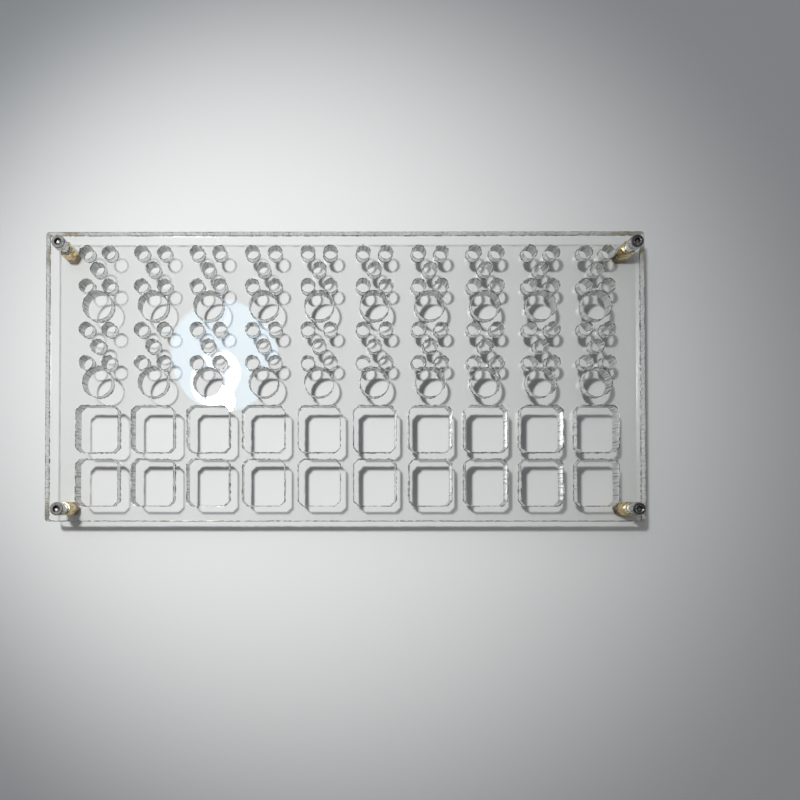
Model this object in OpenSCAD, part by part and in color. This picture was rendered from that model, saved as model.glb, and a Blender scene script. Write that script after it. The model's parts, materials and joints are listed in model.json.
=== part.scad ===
// Clear acrylic sorting plate on four brass legs.
// Ten repeats across, each with two clusters of round wells and two key-shaped sockets.
// The origin is the centre of the footprint, on the surface that the legs stand on. +Y is the back.

/* [Plate] */
// Width of the plate, left to right
plate_w = 200; // [198:1:220]
// Depth of the plate, front to back
plate_d = 97; // [96:0.5:110]
// Thickness of the acrylic sheet
plate_t = 5; // [4:0.5:8]
// Radius of the plate's upright corners
corner_r = 1.2; // [0.5:0.1:3]
// How far all the holes sit to the right of the plate's middle
hole_shift = 0.7; // [-1:0.1:1]

/* [Columns] */
// Number of repeats across the plate
column_count = 10; // [1:1:10]
// Distance between neighbouring repeats
column_pitch = 18.55; // [18:0.05:18.7]

/* [Round wells] */
// Diameter of a small well
small_well_d = 4.4; // [3:0.1:4.8]
// Distance across a cluster, between its left and right small wells
small_well_gap_x = 7.6; // [6:0.1:9]
// Distance along a cluster, between its back and front small wells
small_well_gap_y = 11.2; // [10:0.1:11.7]
// Diameter of a large well
large_well_d = 9.5; // [6:0.1:10]
// Distance from a cluster's back small wells to its large well
large_well_step = 17.8; // [17.6:0.1:18.2]
// Distance from the plate's back edge to the first small wells
first_well_inset = 6.9; // [5:0.1:8]
// Distance between the two clusters of one repeat
cluster_pitch = 25.8; // [25.4:0.1:26.2]

/* [Sockets] */
// Width of a socket, left to right
socket_w = 13.8; // [10:0.1:14.5]
// Depth of a socket, front to back
socket_d = 15.4; // [10:0.1:16]
// Size of the cut across each corner of a socket
socket_chamfer = 1.6; // [0.5:0.1:3]
// Distance from the plate's back edge to the middle of the back sockets
first_socket_inset = 66.1; // [65:0.1:67]
// Distance between the two rows of sockets
socket_pitch = 17.9; // [17.2:0.1:18.4]

/* [Legs] */
// Height of a hexagonal brass leg
leg_h = 8; // [7:0.5:25]
// Width of a leg across its flats
leg_flats = 4.5; // [4.5:0.1:5.5]
// Distance from the plate's edges to the middle of a leg
leg_inset = 4.3; // [4:0.1:5]
// Diameter of a leg's tapped hole, at the crests of its thread
tap_d = 2.05; // [1.9:0.05:2.2]
// Diameter of the flat ring on each end of a leg
leg_end_d = 4.3; // [3.8:0.1:4.4]
// Height of the small slope round each end of a leg
leg_slope = 0.35; // [0.1:0.05:0.5]

/* [Screws] */
// Outside diameter of the screw's thread
screw_d = 2.5; // [2.4:0.05:2.5]
// Length of the screw under its head
screw_len = 10; // [8:1:12]
// Diameter of the screw's head
head_d = 4.5; // [4:0.1:5]
// Height of the screw's head
head_h = 2.5; // [2:0.1:3]
// Width of the hexagonal drive across its flats
drive_flats = 2; // [1.5:0.1:2.5]
// Depth of the hexagonal drive
drive_depth = 1.25; // [0.8:0.05:1.5]
// Diameter of the plate's screw holes
screw_hole_d = 3; // [2.7:0.1:3.4]

/* [Hidden] */
$fn = 64;

ACRYLIC = [0.86, 0.9, 0.92, 0.35];
BRASS = [0.78, 0.6, 0.28];
STEEL = [0.62, 0.62, 0.64];

// Cuts run this far past the faces that they open
past = 1;
// Gap between the screw's thread and the wider, engaged part of the leg's hole
thread_gap = 0.03;
// Angle between a leg's end slopes and its axis
slope_angle = 60;
// Height of the bevel round the top of the screw's head
head_bevel = 0.35;
// Height of the bevel at the screw's tip
tip_bevel = 0.4;

plate_top = leg_h + plate_t;
back_edge = plate_d / 2;
leg_x = plate_w / 2 - leg_inset;
leg_y = plate_d / 2 - leg_inset;
// How far the screw reaches down into its leg
engaged = screw_len - plate_t;
// A hexagon's corner-to-corner size for each size across its flats
hex_corner = 2 / sqrt(3);

function column_x(i) = (i - (column_count - 1) / 2) * column_pitch + hole_shift;

// Moves a child to a corner: x is -1 for left or 1 for right, y is -1 for front or 1 for back
module at_corner(x, y) {
    translate([hole_shift + x * leg_x, y * leg_y, 0]) children();
}

// The plate's outline, with round upright corners
module rounded_sheet() {
    inner_x = plate_w - 2 * corner_r;
    inner_y = plate_d - 2 * corner_r;
    translate([-inner_x / 2, -plate_d / 2, 0]) cube([inner_x, plate_d, plate_t]);
    translate([-plate_w / 2, -inner_y / 2, 0]) cube([plate_w, inner_y, plate_t]);
    for (x = [-1, 1], y = [-1, 1])
        translate([x * inner_x / 2, y * inner_y / 2, 0]) cylinder(r = corner_r, h = plate_t);
}

// A round cut through the sheet
module round_cut(d) {
    translate([0, 0, -past]) cylinder(d = d, h = plate_t + 2 * past);
}

// Five small wells and a large one, measured from the middle of the two back wells
module cluster_cut() {
    for (x = [-1, 1], row = [0, 1])
        translate([x * small_well_gap_x / 2, -row * small_well_gap_y, 0]) round_cut(small_well_d);
    translate([0, -small_well_gap_y / 2, 0]) round_cut(small_well_d);
    translate([0, -large_well_step, 0]) round_cut(large_well_d);
}

// A rectangular cut with its corners cut across
module socket_cut() {
    w = socket_w / 2;
    d = socket_d / 2;
    c = socket_chamfer;
    translate([0, 0, -past]) linear_extrude(plate_t + 2 * past)
        polygon([[-w + c, -d], [w - c, -d], [w, -d + c], [w, d - c],
                 [w - c, d], [-w + c, d], [-w, d - c], [-w, -d + c]]);
}

module well_plate() {
    color(ACRYLIC) translate([0, 0, leg_h]) difference() {
        rounded_sheet();
        for (i = [0 : column_count - 1]) translate([column_x(i), 0, 0]) {
            for (row = [0, 1]) {
                translate([0, back_edge - first_well_inset - row * cluster_pitch, 0]) cluster_cut();
                translate([0, back_edge - first_socket_inset - row * socket_pitch, 0]) socket_cut();
            }
        }
        for (x = [-1, 1], y = [-1, 1]) at_corner(x, y) round_cut(screw_hole_d);
    }
}

// A leg's solid outline: a hexagon whose end corners are sloped off
module hexagon_pillar() {
    end_r = leg_end_d / 2;
    full_r = end_r + leg_slope * tan(slope_angle);
    intersection() {
        cylinder(d = leg_flats * hex_corner, h = leg_h, $fn = 6);
        union() {
            cylinder(r1 = end_r, r2 = full_r, h = leg_slope);
            translate([0, 0, leg_slope])
                cylinder(d = leg_flats * hex_corner + past, h = leg_h - 2 * leg_slope);
            translate([0, 0, leg_h - leg_slope]) cylinder(r1 = full_r, r2 = end_r, h = leg_slope);
        }
    }
}

// The pillar bored right through.
// The hole is wider where the screw is engaged, because the thread itself is left out.
module leg() {
    color(BRASS) difference() {
        hexagon_pillar();
        translate([0, 0, -past]) cylinder(d = tap_d, h = leg_h + 2 * past);
        translate([0, 0, leg_h - engaged]) cylinder(d = screw_d + 2 * thread_gap, h = engaged + past);
    }
}

// A socket-head cap screw, its head resting on the plate's top face
module screw() {
    color(STEEL) translate([0, 0, plate_top]) difference() {
        union() {
            cylinder(d = head_d, h = head_h - head_bevel);
            translate([0, 0, head_h - head_bevel])
                cylinder(d1 = head_d, d2 = head_d - 2 * head_bevel, h = head_bevel);
            translate([0, 0, -screw_len + tip_bevel]) cylinder(d = screw_d, h = screw_len - tip_bevel);
            translate([0, 0, -screw_len])
                cylinder(d1 = screw_d - 2 * tip_bevel, d2 = screw_d, h = tip_bevel);
        }
        translate([0, 0, head_h - drive_depth])
            cylinder(d = drive_flats * hex_corner, h = drive_depth + past, $fn = 6);
    }
}

module leg_front_left() { at_corner(-1, -1) leg(); }
module leg_front_right() { at_corner(1, -1) leg(); }
module leg_back_left() { at_corner(-1, 1) leg(); }
module leg_back_right() { at_corner(1, 1) leg(); }

module screw_front_left() { at_corner(-1, -1) screw(); }
module screw_front_right() { at_corner(1, -1) screw(); }
module screw_back_left() { at_corner(-1, 1) screw(); }
module screw_back_right() { at_corner(1, 1) screw(); }

well_plate();
leg_front_left();
leg_front_right();
leg_back_left();
leg_back_right();
screw_front_left();
screw_front_right();
screw_back_left();
screw_back_right();
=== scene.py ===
"""Looks for a clear acrylic sorting plate on four brass legs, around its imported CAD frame."""
import json
import math
import random

import bmesh
import bpy
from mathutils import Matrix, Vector


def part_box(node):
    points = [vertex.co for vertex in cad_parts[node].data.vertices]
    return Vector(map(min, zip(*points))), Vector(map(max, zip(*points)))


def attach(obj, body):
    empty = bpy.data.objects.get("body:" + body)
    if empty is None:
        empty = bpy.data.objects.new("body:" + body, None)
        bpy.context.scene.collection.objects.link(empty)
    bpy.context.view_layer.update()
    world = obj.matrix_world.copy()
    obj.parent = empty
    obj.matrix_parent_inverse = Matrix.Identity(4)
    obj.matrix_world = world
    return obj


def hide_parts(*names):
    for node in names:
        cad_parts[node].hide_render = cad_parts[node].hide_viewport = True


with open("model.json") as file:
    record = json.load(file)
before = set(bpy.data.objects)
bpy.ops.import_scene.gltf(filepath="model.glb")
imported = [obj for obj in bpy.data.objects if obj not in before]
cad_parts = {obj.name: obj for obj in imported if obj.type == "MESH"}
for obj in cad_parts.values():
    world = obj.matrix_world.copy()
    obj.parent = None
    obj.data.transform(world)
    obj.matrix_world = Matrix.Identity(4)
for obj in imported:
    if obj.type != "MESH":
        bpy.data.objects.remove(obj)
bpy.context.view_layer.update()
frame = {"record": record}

MM = 0.001
CORNERS = ("front_left", "front_right", "back_left", "back_right")

# A height this near the screw's seat counts as the seat, and vertices this near are merged
HAIR = 1e-9
MERGE_DISTANCE = 1e-7

# Acrylic sheet
RIM_SEED = 11
RIM_ROUND = 0.24 * MM
RIM_SHARES = (0.5, 1.5)
RIDGE_DEPTH = 0.035 * MM
ROUND_STEPS = 3
STRAIGHT_STEP = 0.55 * MM
SHEET_CORNER_R = 1.2 * MM
SOCKET_MARGIN = 0.85 * MM
SOCKET_CHAMFER = 1.6 * MM
SOCKET_CORNER_R = 0.3 * MM
SCREW_HOLE_R = 1.5 * MM
SCREW_HOLE_SIDES = 40
LARGE_WELL_R = 4 * MM
LARGE_WELL_SIDES = 96
SMALL_WELL_SIDES = 56
SHEET_ARC_STEPS = 8
SOCKET_ARC_STEPS = 3
ACRYLIC_IOR = 1.49
CUT_CLARITY = 0.62
RIM_CLARITY = 0.75
# Heights in a cut wall between which the lamp's light, bent down by the sheet, begins to get past it
BENT_LIGHT = (2.7 * MM, 3.3 * MM)

# How much of the lamp's light gets through the faces and the cut walls
FACE_SHADE = (0.945, 0.95, 0.945)
DARK_SHADE = (0.03, 0.03, 0.035)
OUT_SHADE = (0.2, 0.2, 0.21)

# Gap left where a screw or leg bears on the sheet, and between the feet and the paper
SEAT_GAP = 0.02 * MM

# Brass legs
LEG_END_R = 2.15 * MM
LEG_SLOPE_RISE = math.tan(math.radians(60))
LEG_SLOPE_STEPS = 6

# M2.5 screws and the thread that they share with the legs
THREAD_PITCH = 0.45 * MM
THREAD_CREST_R = 1.24 * MM
THREAD_ROOT_R = 0.98 * MM
THREAD_GAP = 0.02 * MM
THREAD_SIDES = 32
# Shares of the pitch: each flat, each slope, and where the profile's four corners are
THREAD_FLAT = 0.125
THREAD_SLOPE = 0.375
THREAD_ROWS = (0.0, 0.125, 0.5, 0.625)
THREAD_BORE_ROWS = 8
THREAD_TIP_BEVEL = 0.1 * MM
HEAD_SEAT_BEVEL = 0.15 * MM
# The head's top edge: how far below the top, and how far in from the side
HEAD_TOP_EDGE = ((0.18 * MM, 0.07 * MM), (0.1 * MM, 0.18 * MM), (0.02 * MM, 0.26 * MM), (0, 0.38 * MM))
HEAD_KNURL_END = 0.28 * MM
HEAD_KNURLS = 36
KNURL_DEPTH = 0.07 * MM
DRIVE_FLATS = 2.0 * MM
DRIVE_DEPTH = 1.25 * MM
# The drive's mouth: its extra radius, and the two depths at which it narrows to the hexagon
DRIVE_MOUTH = 0.12 * MM
DRIVE_MOUTH_DEPTHS = (0.12 * MM, 0.2 * MM)
DRIVE_EASE = 0.02 * MM
DRIVE_POINT = 0.25 * MM
TURNED_SIDES = 72

# How much duller the tarnished patches of a metal are than its roughness, and how much glossier the
# clean ones
PATCH_DULLING = 0.08
PATCH_SHINE = 0.05

# The room: its brightness by height, the glow at its upper left, and the walls that the camera sees
ROOM_STOPS = ((0.0, 0.85), (0.15, 0.7), (0.38, 0.1), (1.0, 0.05))
GLOW_DIRECTION = (-0.36, 0.36, 0.86)
GLOW_COSINES = (0.78, 0.97)
GLOW_STRENGTH = 0.5
PALE_WALL = (0.82, 0.83, 0.84)
FLOOR_HALF = 3.0

# Lamps: the key lamp's cone, and the share of the oval lamps' light that reaches the floor
KEY_CONE = math.radians(57)
GLARE_DIFFUSE = 0.15

# Camera, placed from the top of the sheet
CAMERA_LENS = 27.08
CAMERA_SENSOR = 36
CAMERA_SHIFT = (0.0972, 0.1188)
CAMERA_CENTRE = (-7.0 * MM, -42.3 * MM)
CAMERA_HEIGHT = 200 * MM
CAMERA_TILT = (0.01323, 0.0029, 0)

plate_lo, plate_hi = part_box("well_plate")


# ---------------------------------------------------------------- shared helpers


def finish_piece(name, bm, materials, replaced):
    """Turns bm into an object that rides the root body and stands for one CAD node."""
    mesh = bpy.data.meshes.new(name)
    bm.to_mesh(mesh)
    bm.free()
    for material in materials:
        mesh.materials.append(material)
    piece = bpy.data.objects.new(name, mesh)
    bpy.context.scene.collection.objects.link(piece)
    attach(piece, "root")
    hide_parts(replaced)
    return piece


def bridge(bm, lower, upper, material=0, smooth=True):
    """Quads between two closed rings of the same number of vertices."""
    count = len(lower)
    for i in range(count):
        j = (i + 1) % count
        face = bm.faces.new((lower[i], lower[j], upper[j], upper[i]))
        face.material_index = material
        face.smooth = smooth


# ---------------------------------------------------------------- acrylic sheet


def rounded_polygon(corners, radius, steps):
    """A function of grow that gives the outline, moved outwards by grow, of a convex polygon.

    Its corners are listed anticlockwise, and each is rounded to the radius.
    """
    arcs = []
    count = len(corners)
    for i in range(count):
        here = Vector(corners[i])
        to_last = (Vector(corners[i - 1]) - here).normalized()
        to_next = (Vector(corners[(i + 1) % count]) - here).normalized()
        half_angle = to_last.angle(to_next) / 2
        middle = (to_last + to_next).normalized()
        centre = here + middle * (radius / math.sin(half_angle))
        sweep = math.pi - 2 * half_angle
        facing = math.atan2(-middle.y, -middle.x)
        arcs.append((centre, facing - sweep / 2, sweep))

    def outline(grow):
        ends = []
        for centre, start, sweep in arcs:
            arc = []
            for step in range(steps + 1):
                angle = start + sweep * step / steps
                arc.append(centre + (radius + grow) * Vector((math.cos(angle), math.sin(angle))))
            ends.append(arc)
        points = []
        for i, arc in enumerate(ends):
            points.extend(arc)
            following = ends[(i + 1) % count][0]
            length = (Vector(corners[(i + 1) % count]) - Vector(corners[i])).length
            pieces = max(1, round(length / STRAIGHT_STEP))
            points.extend(arc[-1].lerp(following, k / pieces) for k in range(1, pieces))
        return [(point.x, point.y) for point in points]

    return outline


def circle(x, y, radius, steps):
    """A function of grow that gives a circle's outline, moved outwards by grow."""

    def outline(grow):
        turns = [2 * math.pi * step / steps for step in range(steps)]
        return [(x + (radius + grow) * math.cos(t), y + (radius + grow) * math.sin(t)) for t in turns]

    return outline


def rectangle_corners(x_lo, y_lo, x_hi, y_hi, cut=0.0):
    """Corners of a rectangle, anticlockwise, each cut across when cut isn't 0."""
    if not cut:
        return [(x_lo, y_lo), (x_hi, y_lo), (x_hi, y_hi), (x_lo, y_hi)]
    return [
        (x_lo + cut, y_lo), (x_hi - cut, y_lo), (x_hi, y_lo + cut), (x_hi, y_hi - cut),
        (x_hi - cut, y_hi), (x_lo + cut, y_hi), (x_lo, y_hi - cut), (x_lo, y_lo + cut),
    ]


def plate_outlines():
    """The sheet's own outline, then one outline for each cut through it."""
    sheet_corners = rectangle_corners(plate_lo.x, plate_lo.y, plate_hi.x, plate_hi.y)
    sheet = rounded_polygon(sheet_corners, SHEET_CORNER_R, SHEET_ARC_STEPS)
    cuts = []
    for mount in frame["record"]["mounts"]:
        if mount["kind"] == "bore":
            x, y, _ = mount["pos_m"]
            radius = mount["dims"]["r_mm"] * MM
            sides = LARGE_WELL_SIDES if radius > LARGE_WELL_R else SMALL_WELL_SIDES
            cuts.append(circle(x, y, radius, sides))
    for opening in frame["record"]["physics"]["openings"]:
        lo, hi = opening["box_m"]
        corners = rectangle_corners(
            lo[0] - SOCKET_MARGIN, lo[1] - SOCKET_MARGIN,
            hi[0] + SOCKET_MARGIN, hi[1] + SOCKET_MARGIN, SOCKET_CHAMFER,
        )
        cuts.append(rounded_polygon(corners, SOCKET_CORNER_R, SOCKET_ARC_STEPS))
    for corner in CORNERS:
        lo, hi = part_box("screw_" + corner)
        cuts.append(circle((lo.x + hi.x) / 2, (lo.y + hi.y) / 2, SCREW_HOLE_R, SCREW_HOLE_SIDES))
    return sheet, cuts


def rim_profile():
    """(distance into the sheet from the cut wall, height) from the lower face to the upper one."""
    lower = []
    for step in range(ROUND_STEPS + 1):
        angle = math.pi / 2 * step / ROUND_STEPS
        lower.append((RIM_ROUND * (1 - math.sin(angle)), RIM_ROUND * (1 - math.cos(angle))))
    thickness = plate_hi.z - plate_lo.z
    upper = [(inset, thickness - height) for inset, height in reversed(lower)]
    return [(inset, plate_lo.z + height) for inset, height in lower + upper]


def make_plate(*materials):
    """The sheet with every well, socket and screw hole cut through it, all rims ragged and rounded."""
    random.seed(RIM_SEED)
    bm = bmesh.new()
    sheet, cuts = plate_outlines()
    bottom_edges = []
    top_edges = []
    for outline, side in [(sheet, -1)] + [(cut, 1) for cut in cuts]:
        # each point of the outline has its own place across the cut's upright ridges, and its own
        # share of the rim's rounding
        drawn, one_mm_in = outline(0), outline(side * MM)
        uneven = [(random.uniform(0, RIDGE_DEPTH), random.uniform(*RIM_SHARES)) for _ in drawn]
        rings = []
        for inset, z in rim_profile():
            ring = []
            for (x0, y0), (x1, y1), (ridge, share) in zip(drawn, one_mm_in, uneven):
                depth = (ridge + inset * share) / MM
                ring.append(bm.verts.new((x0 + (x1 - x0) * depth, y0 + (y1 - y0) * depth, z)))
            rings.append(ring)
        for band, (lower, upper) in enumerate(zip(rings, rings[1:])):
            bridge(bm, lower, upper, material=1 if band == ROUND_STEPS else 2)
        for ring, edges in ((rings[0], bottom_edges), (rings[-1], top_edges)):
            count = len(ring)
            edges.extend(bm.edges.get((ring[i], ring[(i + 1) % count])) for i in range(count))
    for edges in (bottom_edges, top_edges):
        made = bmesh.ops.triangle_fill(bm, use_beauty=True, edges=edges, normal=(0, 0, 1))
        for item in made["geom"]:
            if isinstance(item, bmesh.types.BMFace):
                item.material_index = 0
                item.smooth = False
    bmesh.ops.recalc_face_normals(bm, faces=bm.faces)
    return finish_piece("acrylic_plate", bm, materials, "well_plate")


# ---------------------------------------------------------------- turned parts


def hexagon_radius(angle, flats):
    """How far a hexagon's side is from its middle, with corners at 0, 60, 120 degrees and so on."""
    from_flat = angle % (math.pi / 3) - math.pi / 6
    return flats / 2 / math.cos(from_flat)


def turned_ring(bm, x, y, z, radius_at):
    """A ring of vertices whose radius is a function of the angle."""
    ring = []
    for i in range(TURNED_SIDES):
        angle = 2 * math.pi * i / TURNED_SIDES
        radius = radius_at(angle)
        ring.append(bm.verts.new((x + radius * math.cos(angle), y + radius * math.sin(angle), z)))
    return ring


def thread_radius(share, crest_r, root_r):
    """Radius of a 60 degree thread at a share of its pitch, with flats at the root and the crest."""
    if share < THREAD_FLAT:
        return root_r
    if share < THREAD_FLAT + THREAD_SLOPE:
        return root_r + (crest_r - root_r) * (share - THREAD_FLAT) / THREAD_SLOPE
    if share < 2 * THREAD_FLAT + THREAD_SLOPE:
        return crest_r
    return crest_r - (crest_r - root_r) * (share - 2 * THREAD_FLAT - THREAD_SLOPE) / THREAD_SLOPE


def thread_tube(bm, x, y, z_lo, z_hi, crest_r, root_r, limit):
    """A helical thread between two heights. Returns its rows of vertices, from the bottom up.

    limit is a function of the height that gives the lowest and highest radius there. The helix
    has a spare turn at both ends, whose vertices are pressed flat against the end heights.
    """
    turns = math.ceil((z_hi - z_lo) / THREAD_PITCH) + 2
    rows = len(THREAD_ROWS)
    grid = []
    for turn in range(turns):
        for share in THREAD_ROWS:
            row = []
            for i in range(THREAD_SIDES):
                angle = 2 * math.pi * i / THREAD_SIDES
                z = z_lo + THREAD_PITCH * (turn - 1 + share + i / THREAD_SIDES)
                z = min(max(z, z_lo), z_hi)
                least, most = limit(z)
                radius = min(max(thread_radius(share, crest_r, root_r), least), most)
                row.append(bm.verts.new((x + radius * math.cos(angle), y + radius * math.sin(angle), z)))
            grid.append(row)
    for k in range(len(grid) - rows - 1):
        for i in range(THREAD_SIDES):
            if i + 1 < THREAD_SIDES:
                corners = (grid[k][i], grid[k][i + 1], grid[k + 1][i + 1], grid[k + 1][i])
            else:
                corners = (grid[k][i], grid[k + rows][0], grid[k + rows + 1][0], grid[k + 1][i])
            bm.faces.new(corners)
    return grid


def make_leg(corner, side_material, end_material):
    """A hexagonal brass pillar with sloped ends and a tapped hole right through."""
    node = "leg_" + corner
    lo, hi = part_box(node)
    screw_lo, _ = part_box("screw_" + corner)
    x = (lo.x + hi.x) / 2
    y = (lo.y + hi.y) / 2
    flats = hi.y - lo.y
    top = hi.z - SEAT_GAP
    slope_h = (hexagon_radius(0, flats) - LEG_END_R) / LEG_SLOPE_RISE
    # the hole's thread is a few gaps wider than the screw's, so that they never touch
    mouth_r = THREAD_CREST_R + 3 * THREAD_GAP
    bore_r = THREAD_ROOT_R + 4 * THREAD_GAP
    bm = bmesh.new()
    heights = [slope_h * step / LEG_SLOPE_STEPS for step in range(LEG_SLOPE_STEPS + 1)]
    outer = [(lo.z + h, LEG_END_R + h * LEG_SLOPE_RISE) for h in heights]
    outer += [(top - h, LEG_END_R + h * LEG_SLOPE_RISE) for h in reversed(heights)]
    rings = []
    for z, cone_r in outer:
        rings.append(turned_ring(bm, x, y, z, lambda a, c=cone_r: min(hexagon_radius(a, flats), c)))
    for lower, upper in zip(rings, rings[1:]):
        bridge(bm, lower, upper, smooth=False)
    # the tapped hole, widened to a cone at both mouths
    height = top - lo.z
    steps = int(height / THREAD_PITCH * THREAD_BORE_ROWS)

    def bore_radius(angle, z):
        share = ((z - screw_lo.z) / THREAD_PITCH - angle / (2 * math.pi)) % 1.0
        cone_r = mouth_r - min(z - lo.z, top - z)
        return max(thread_radius(share, mouth_r - THREAD_GAP, bore_r), cone_r)

    bores = []
    for k in range(steps + 1):
        z = lo.z + height * k / steps
        bores.append(turned_ring(bm, x, y, z, lambda a, h=z: bore_radius(a, h)))
    for lower, upper in zip(bores, bores[1:]):
        bridge(bm, lower, upper, smooth=True)
    bridge(bm, rings[0], bores[0], material=1, smooth=False)
    bridge(bm, rings[-1], bores[-1], material=1, smooth=False)
    bmesh.ops.recalc_face_normals(bm, faces=bm.faces)
    return finish_piece("brass_leg_" + corner, bm, (side_material, end_material), node)


def make_screw(corner, outside_material, drive_material):
    """A socket-head cap screw with a knurled head, a hexagonal drive and a cut thread."""
    node = "screw_" + corner
    lo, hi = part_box(node)
    x = (lo.x + hi.x) / 2
    y = (lo.y + hi.y) / 2
    head_r = (hi.x - lo.x) / 2
    seat = plate_hi.z + SEAT_GAP
    bm = bmesh.new()

    def knurled(angle, radius):
        wave = 0.5 + 0.5 * math.cos(angle * HEAD_KNURLS)
        return radius - KNURL_DEPTH * wave

    def ring(z, radius_at):
        return turned_ring(bm, x, y, z, radius_at)

    def drive(angle):
        return hexagon_radius(angle, DRIVE_FLATS)

    floor_z = hi.z - DRIVE_DEPTH
    outside = [
        ring(seat, lambda a: THREAD_CREST_R),
        ring(seat, lambda a: head_r - HEAD_SEAT_BEVEL),
        ring(seat + HEAD_SEAT_BEVEL, lambda a: knurled(a, head_r)),
        ring(hi.z - HEAD_KNURL_END, lambda a: knurled(a, head_r)),
    ]
    for below, inset in HEAD_TOP_EDGE:
        outside.append(ring(hi.z - below, lambda a, r=head_r - inset: r))
    outside.append(ring(hi.z, lambda a: DRIVE_FLATS / math.sqrt(3) + DRIVE_MOUTH))
    outside.append(ring(hi.z - DRIVE_MOUTH_DEPTHS[0], lambda a: drive(a) + DRIVE_EASE))
    inside = [
        outside[-1],
        ring(hi.z - DRIVE_MOUTH_DEPTHS[1], drive),
        ring(floor_z, drive),
        ring(floor_z - DRIVE_POINT, lambda a: DRIVE_POINT),
    ]
    for material, rings in enumerate((outside, inside)):
        for lower, upper in zip(rings, rings[1:]):
            bridge(bm, lower, upper, material=material, smooth=False)
    bm.faces.new(inside[-1]).material_index = 1
    tip_r = THREAD_ROOT_R - THREAD_TIP_BEVEL

    def limit(z):
        if z >= seat - HAIR:
            return THREAD_CREST_R, THREAD_CREST_R
        most = tip_r + (z - lo.z)
        return min(THREAD_ROOT_R, most), most

    grid = thread_tube(bm, x, y, lo.z, seat, THREAD_CREST_R, THREAD_ROOT_R, limit)
    bm.faces.new(grid[0])
    bmesh.ops.remove_doubles(bm, verts=bm.verts, dist=MERGE_DISTANCE)
    bmesh.ops.recalc_face_normals(bm, faces=bm.faces)
    return finish_piece("cap_screw_" + corner, bm, (outside_material, drive_material), node)


# ---------------------------------------------------------------- materials


def new_material(name):
    """An empty node material and its output node."""
    material = bpy.data.materials.new(name)
    material.use_nodes = True
    tree = material.node_tree
    tree.nodes.clear()
    output = tree.nodes.new("ShaderNodeOutputMaterial")
    return material, tree, output


def principled(tree, values):
    """A Principled shader with the values set on its own sockets."""
    shader = tree.nodes.new("ShaderNodeBsdfPrincipled")
    for socket, value in values.items():
        shader.inputs[socket].default_value = value
    return shader


def object_axes(tree):
    """Separated object coordinates."""
    where = tree.nodes.new("ShaderNodeTexCoord")
    split = tree.nodes.new("ShaderNodeSeparateXYZ")
    tree.links.new(where.outputs["Object"], split.inputs["Vector"])
    return split.outputs


def stretched_noise(tree, scale, detail, stretch=(1, 1, 1)):
    """Noise on object coordinates, in metres, squeezed along each axis by stretch."""
    where = tree.nodes.new("ShaderNodeTexCoord")
    mapping = tree.nodes.new("ShaderNodeMapping")
    mapping.inputs["Scale"].default_value = stretch
    noise = tree.nodes.new("ShaderNodeTexNoise")
    noise.inputs["Scale"].default_value = scale
    noise.inputs["Detail"].default_value = detail
    tree.links.new(where.outputs["Object"], mapping.inputs["Vector"])
    tree.links.new(mapping.outputs["Vector"], noise.inputs["Vector"])
    return noise.outputs["Fac"]


def maths(tree, operation, first, second):
    """The output of a Math node. Its inputs are numbers or other outputs."""
    node = tree.nodes.new("ShaderNodeMath")
    node.operation = operation
    for socket, value in zip(node.inputs, (first, second)):
        if isinstance(value, (int, float)):
            socket.default_value = value
        else:
            tree.links.new(value, socket)
    return node.outputs["Value"]


def smooth_step(tree, value, ends):
    """0 to 1 as value goes smoothly from the first end to the second."""
    node = tree.nodes.new("ShaderNodeMapRange")
    node.interpolation_type = "SMOOTHSTEP"
    node.inputs["From Min"].default_value = ends[0]
    node.inputs["From Max"].default_value = ends[1]
    tree.links.new(value, node.inputs["Value"])
    return node.outputs["Result"]


def mixed_colour(tree, factor, first, second):
    """The output of a Mix node. Its colours are tuples or other outputs."""
    mix = tree.nodes.new("ShaderNodeMix")
    mix.data_type = "RGBA"
    tree.links.new(factor, mix.inputs["Factor"])
    for socket, colour in ((mix.inputs[6], first), (mix.inputs[7], second)):
        if isinstance(colour, tuple):
            socket.default_value = (*colour, 1.0)
        else:
            tree.links.new(colour, socket)
    return mix.outputs[2]


def two_tones(tree, factor, low, high):
    """A colour that follows a factor between two tones, each given as (factor, colour)."""
    ramp = tree.nodes.new("ShaderNodeValToRGB")
    for element, (position, colour) in zip(ramp.color_ramp.elements, (low, high)):
        element.position = position
        element.color = (*colour, 1)
    tree.links.new(factor, ramp.inputs["Fac"])
    return ramp.outputs["Color"]


def add_bump(tree, shader, height, strength, distance):
    """Bumps on a shader's surface, from a height of 0 to 1."""
    bump = tree.nodes.new("ShaderNodeBump")
    bump.inputs["Strength"].default_value = strength
    bump.inputs["Distance"].default_value = distance
    tree.links.new(height, bump.inputs["Height"])
    tree.links.new(bump.outputs["Normal"], shader.inputs["Normal"])


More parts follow.
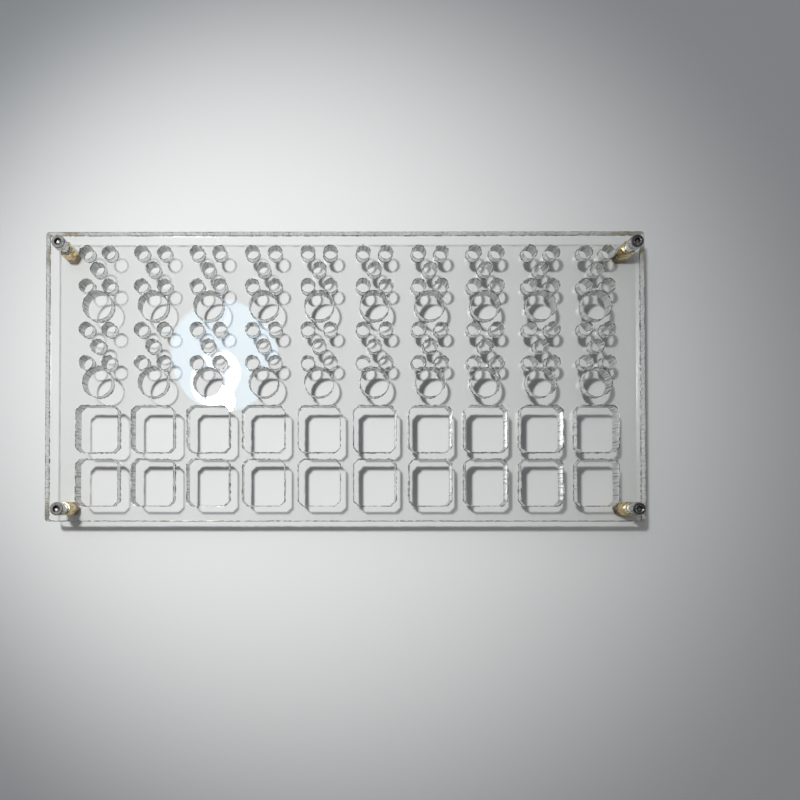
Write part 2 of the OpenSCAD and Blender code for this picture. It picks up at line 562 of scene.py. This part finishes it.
def lamp_glass(name, shades, build):
    """Clear glass whose lamps shine through it. build makes its Principled shader.

    The light that a floor under it gets is dimmed by the first shade where the straight way to the
    lamp goes into the glass, and where it comes out again by the second one low down in a wall and
    the third one higher up.
    """
    material, tree, output = new_material(name)
    glass = build(tree)
    path = tree.nodes.new("ShaderNodeLightPath")
    into, out_low, out_high = shades
    height = maths(tree, "SUBTRACT", object_axes(tree)["Z"], plate_lo.z)
    out = mixed_colour(tree, smooth_step(tree, height, BENT_LIGHT), out_low, out_high)
    geometry = tree.nodes.new("ShaderNodeNewGeometry")
    shade = mixed_colour(tree, geometry.outputs["Backfacing"], into, out)
    last = glass.outputs["BSDF"]
    for ray in ("Is Diffuse Ray", "Is Shadow Ray"):
        see_through = tree.nodes.new("ShaderNodeBsdfTransparent")
        tree.links.new(shade, see_through.inputs["Color"])
        mix = tree.nodes.new("ShaderNodeMixShader")
        tree.links.new(path.outputs[ray], mix.inputs["Fac"])
        tree.links.new(last, mix.inputs[1])
        tree.links.new(see_through.outputs["BSDF"], mix.inputs[2])
        last = mix.outputs["Shader"]
    tree.links.new(last, output.inputs["Surface"])
    return material


def acrylic_face(tree):
    """Polished faces with a very slight waviness."""
    glass = principled(tree, {
        "Base Color": (0.985, 0.99, 0.985, 1),
        "Roughness": 0,
        "IOR": ACRYLIC_IOR,
        "Transmission Weight": 1,
    })
    waves = stretched_noise(tree, scale=45, detail=2, stretch=(1, 1, 0.2))
    add_bump(tree, glass, waves, strength=0.25, distance=0.15 * MM)
    return glass


def acrylic_cut(tree):
    """Laser-cut walls: partly frosted, with fine upright ridges, some painted darker as painted shade.
    """
    glass = principled(tree, {
        "Roughness": 0.3,
        "IOR": ACRYLIC_IOR,
        "Transmission Weight": CUT_CLARITY,
    })
    ridges = stretched_noise(tree, scale=1900, detail=3, stretch=(1, 1, 0.05))
    # the darker ridges are painted shade for the light that the ridge slopes turn away
    painted_shade_tint = two_tones(tree, ridges, low=(0.4, (0.28, 0.285, 0.28)), high=(0.48, (0.98, 0.99, 0.98)))
    tree.links.new(painted_shade_tint, glass.inputs["Base Color"])
    add_bump(tree, glass, ridges, strength=0.8, distance=0.12 * MM)
    return glass


def acrylic_rim(tree):
    """Rims of the cuts: painted dark in broken dashes, a painted shade for the view they bend away."""
    glass = principled(tree, {
        "Roughness": 0.16,
        "IOR": ACRYLIC_IOR,
        "Transmission Weight": RIM_CLARITY,
    })
    dashes = stretched_noise(tree, scale=900, detail=3)
    # the dark dashes are painted shade for the view that the rounded rim bends away; the rest stays
    # clear
    painted_shade_tint = two_tones(tree, dashes, low=(0.48, (0.04, 0.042, 0.04)), high=(0.62, (0.95, 0.96, 0.95)))
    tree.links.new(painted_shade_tint, glass.inputs["Base Color"])
    return glass


def metal(name, clean, tarnish_and_shade, roughness, shaded_foot_top=0):
    """Turned metal with fine marks round it, patches of tarnish and a slightly uneven gloss.

    Given a foot height, the colour below it is painted darker, towards the dark tone: painted shade at
    the foot.
    """
    material, tree, output = new_material(name)
    shader = principled(tree, {"Metallic": 1})
    patches = stretched_noise(tree, scale=900, detail=4)
    clean_and_unshaded = patches
    # below this height the colour is painted darker, towards the dark tone: painted shade at the foot
    if shaded_foot_top:
        above_shaded_foot = smooth_step(tree, object_axes(tree)["Z"], (0, shaded_foot_top))
        clean_and_unshaded = maths(tree, "MULTIPLY", patches, above_shaded_foot)
    colour = two_tones(tree, clean_and_unshaded, low=(0.3, tarnish_and_shade), high=(0.6, clean))
    tree.links.new(colour, shader.inputs["Base Color"])
    gloss = tree.nodes.new("ShaderNodeMapRange")
    gloss.inputs["To Min"].default_value = roughness + PATCH_DULLING
    gloss.inputs["To Max"].default_value = roughness - PATCH_SHINE
    tree.links.new(patches, gloss.inputs["Value"])
    tree.links.new(gloss.outputs["Result"], shader.inputs["Roughness"])
    marks = stretched_noise(tree, scale=500, detail=2, stretch=(1, 1, 30))
    add_bump(tree, shader, marks, strength=0.3, distance=0.03 * MM)
    tree.links.new(shader.outputs["BSDF"], output.inputs["Surface"])
    return material


def paper():
    """Plain white paper with a faint grain."""
    material, tree, output = new_material("white_paper")
    shader = principled(tree, {
        "Base Color": (0.86, 0.865, 0.87, 1),
        "Roughness": 0.85,
        "Specular IOR Level": 0.2,
    })
    fibres = stretched_noise(tree, scale=600, detail=4)
    add_bump(tree, shader, fibres, strength=0.15, distance=0.1 * MM)
    tree.links.new(shader.outputs["BSDF"], output.inputs["Surface"])
    return material


# ---------------------------------------------------------------- stage, lamps and camera


def make_floor():
    """A wide sheet of white paper, just below the leg ends so that no two faces share a plane."""
    bm = bmesh.new()
    corners = rectangle_corners(-FLOOR_HALF, -FLOOR_HALF, FLOOR_HALF, FLOOR_HALF)
    bm.faces.new([bm.verts.new((x, y, -SEAT_GAP)) for x, y in corners])
    mesh = bpy.data.meshes.new("floor")
    bm.to_mesh(mesh)
    bm.free()
    mesh.materials.append(paper())
    floor = bpy.data.objects.new("floor", mesh)
    bpy.context.scene.collection.objects.link(floor)


def aim_lamp(lamp, position, target):
    """Puts a lamp at the position, facing the target."""
    lamp.location = position
    lamp.rotation_mode = "QUATERNION"
    lamp.rotation_quaternion = (Vector(target) - Vector(position)).to_track_quat("-Z", "Y")
    lamp.visible_camera = False
    bpy.context.scene.collection.objects.link(lamp)


def make_spot_lamp(name, position, target, radius, power, colour):
    """A small bright lamp whose light fades towards the edge of its cone."""
    data = bpy.data.lights.new(name, "SPOT")
    data.shadow_soft_size = radius
    data.spot_size = KEY_CONE
    data.spot_blend = 1.0
    data.energy = power
    data.color = colour
    aim_lamp(bpy.data.objects.new(name, data), position, target)


def make_disc_lamp(name, position, target, radii, power, colour):
    """An oval lamp that shows in the gloss of the sheet and adds little to the light on the floor."""
    data = bpy.data.lights.new(name, "AREA")
    data.shape = "ELLIPSE"
    data.size = 2 * radii[0]
    data.size_y = 2 * radii[1]
    data.energy = power
    data.color = colour
    data.diffuse_factor = GLARE_DIFFUSE
    aim_lamp(bpy.data.objects.new(name, data), position, target)


def make_world():
    """A room with pale low walls, a dark ceiling and a soft glow at the upper left.

    The camera itself sees plain pale walls.
    """
    world = bpy.data.worlds.new("studio")
    bpy.context.scene.world = world
    world.use_nodes = True
    tree = world.node_tree
    tree.nodes.clear()
    where = tree.nodes.new("ShaderNodeTexCoord")
    split = tree.nodes.new("ShaderNodeSeparateXYZ")
    tree.links.new(where.outputs["Generated"], split.inputs["Vector"])
    height = tree.nodes.new("ShaderNodeValToRGB")
    elements = height.color_ramp.elements
    while len(elements) < len(ROOM_STOPS):
        elements.new(0.5)
    for element, (position, grey) in zip(elements, ROOM_STOPS):
        element.position = position
        element.color = (grey, grey, grey, 1)
    tree.links.new(split.outputs["Z"], height.inputs["Fac"])
    towards = tree.nodes.new("ShaderNodeVectorMath")
    towards.operation = "DOT_PRODUCT"
    towards.inputs[1].default_value = Vector(GLOW_DIRECTION).normalized()
    tree.links.new(where.outputs["Generated"], towards.inputs[0])
    near = smooth_step(tree, towards.outputs["Value"], GLOW_COSINES)
    glow = maths(tree, "MULTIPLY", near, GLOW_STRENGTH)
    room = tree.nodes.new("ShaderNodeMix")
    room.data_type = "RGBA"
    room.blend_type = "ADD"
    room.inputs["Factor"].default_value = 1.0
    tree.links.new(height.outputs["Color"], room.inputs[6])
    tree.links.new(glow, room.inputs[7])
    path = tree.nodes.new("ShaderNodeLightPath")
    seen = mixed_colour(tree, path.outputs["Is Camera Ray"], room.outputs[2], PALE_WALL)
    background = tree.nodes.new("ShaderNodeBackground")
    output = tree.nodes.new("ShaderNodeOutputWorld")
    tree.links.new(seen, background.inputs["Color"])
    tree.links.new(background.outputs["Background"], output.inputs["Surface"])


def make_camera():
    """Straight above the front left of the middle, tipped very slightly to the back."""
    data = bpy.data.cameras.new("camera")
    data.lens = CAMERA_LENS
    data.sensor_width = CAMERA_SENSOR
    data.shift_x, data.shift_y = CAMERA_SHIFT
    data.clip_start = 0.01
    data.dof.use_dof = False
    camera = bpy.data.objects.new("camera", data)
    camera.location = (*CAMERA_CENTRE, plate_hi.z + CAMERA_HEIGHT)
    camera.rotation_euler = CAMERA_TILT
    bpy.context.scene.collection.objects.link(camera)
    bpy.context.scene.camera = camera


acrylic = (
    lamp_glass("acrylic_face", (FACE_SHADE, FACE_SHADE, FACE_SHADE), acrylic_face),
    lamp_glass("acrylic_cut", (DARK_SHADE, OUT_SHADE, FACE_SHADE), acrylic_cut),
    lamp_glass("acrylic_rim", (DARK_SHADE, OUT_SHADE, FACE_SHADE), acrylic_rim),
)
# the legs are painted darker below 5 mm, towards the dark tone: painted shade at their feet
brass = metal(
    "brass", clean=(0.82, 0.64, 0.32), tarnish_and_shade=(0.15, 0.10, 0.035), roughness=0.16, shaded_foot_top=5 * MM
)
# the legs' end faces are brass painted paler than the sides: brass with a painted highlight
brass_end_painted_highlight = metal(
    "brass_end_painted_highlight", clean=(0.94, 0.84, 0.60), tarnish_and_shade=(0.80, 0.69, 0.44), roughness=0.42
)
steel = metal(
    "steel", clean=(0.58, 0.57, 0.56), tarnish_and_shade=(0.34, 0.335, 0.33), roughness=0.07
)
# the hexagonal drive is painted dark: painted shade in the recess
drive_steel_painted_shade = metal(
    "drive_steel_painted_shade", clean=(0.16, 0.155, 0.15), tarnish_and_shade=(0.06, 0.058, 0.055), roughness=0.35
)

make_plate(*acrylic)
for corner in CORNERS:
    make_leg(corner, brass, brass_end_painted_highlight)
    make_screw(corner, steel, drive_steel_painted_shade)

make_floor()
make_world()
make_spot_lamp(
    "key_lamp", position=(-0.096, 0.047, 0.335), target=(-0.020, 0, 0),
    radius=0.012, power=3.65, colour=(1.0, 0.985, 0.96),
)
make_disc_lamp(
    "glow_lamp", position=(-0.101, 0.067, 0.334), target=(0, 0, 0),
    radii=(0.025, 0.019), power=0.028, colour=(0.97, 0.99, 1.0),
)
make_disc_lamp(
    "shade_lamp", position=(-0.0935, 0.086, 0.335), target=(0, 0, 0),
    radii=(0.047, 0.047), power=0.068, colour=(0.45, 0.75, 1.0),
)
make_camera()
bpy.context.scene.view_settings.view_transform = "Standard"
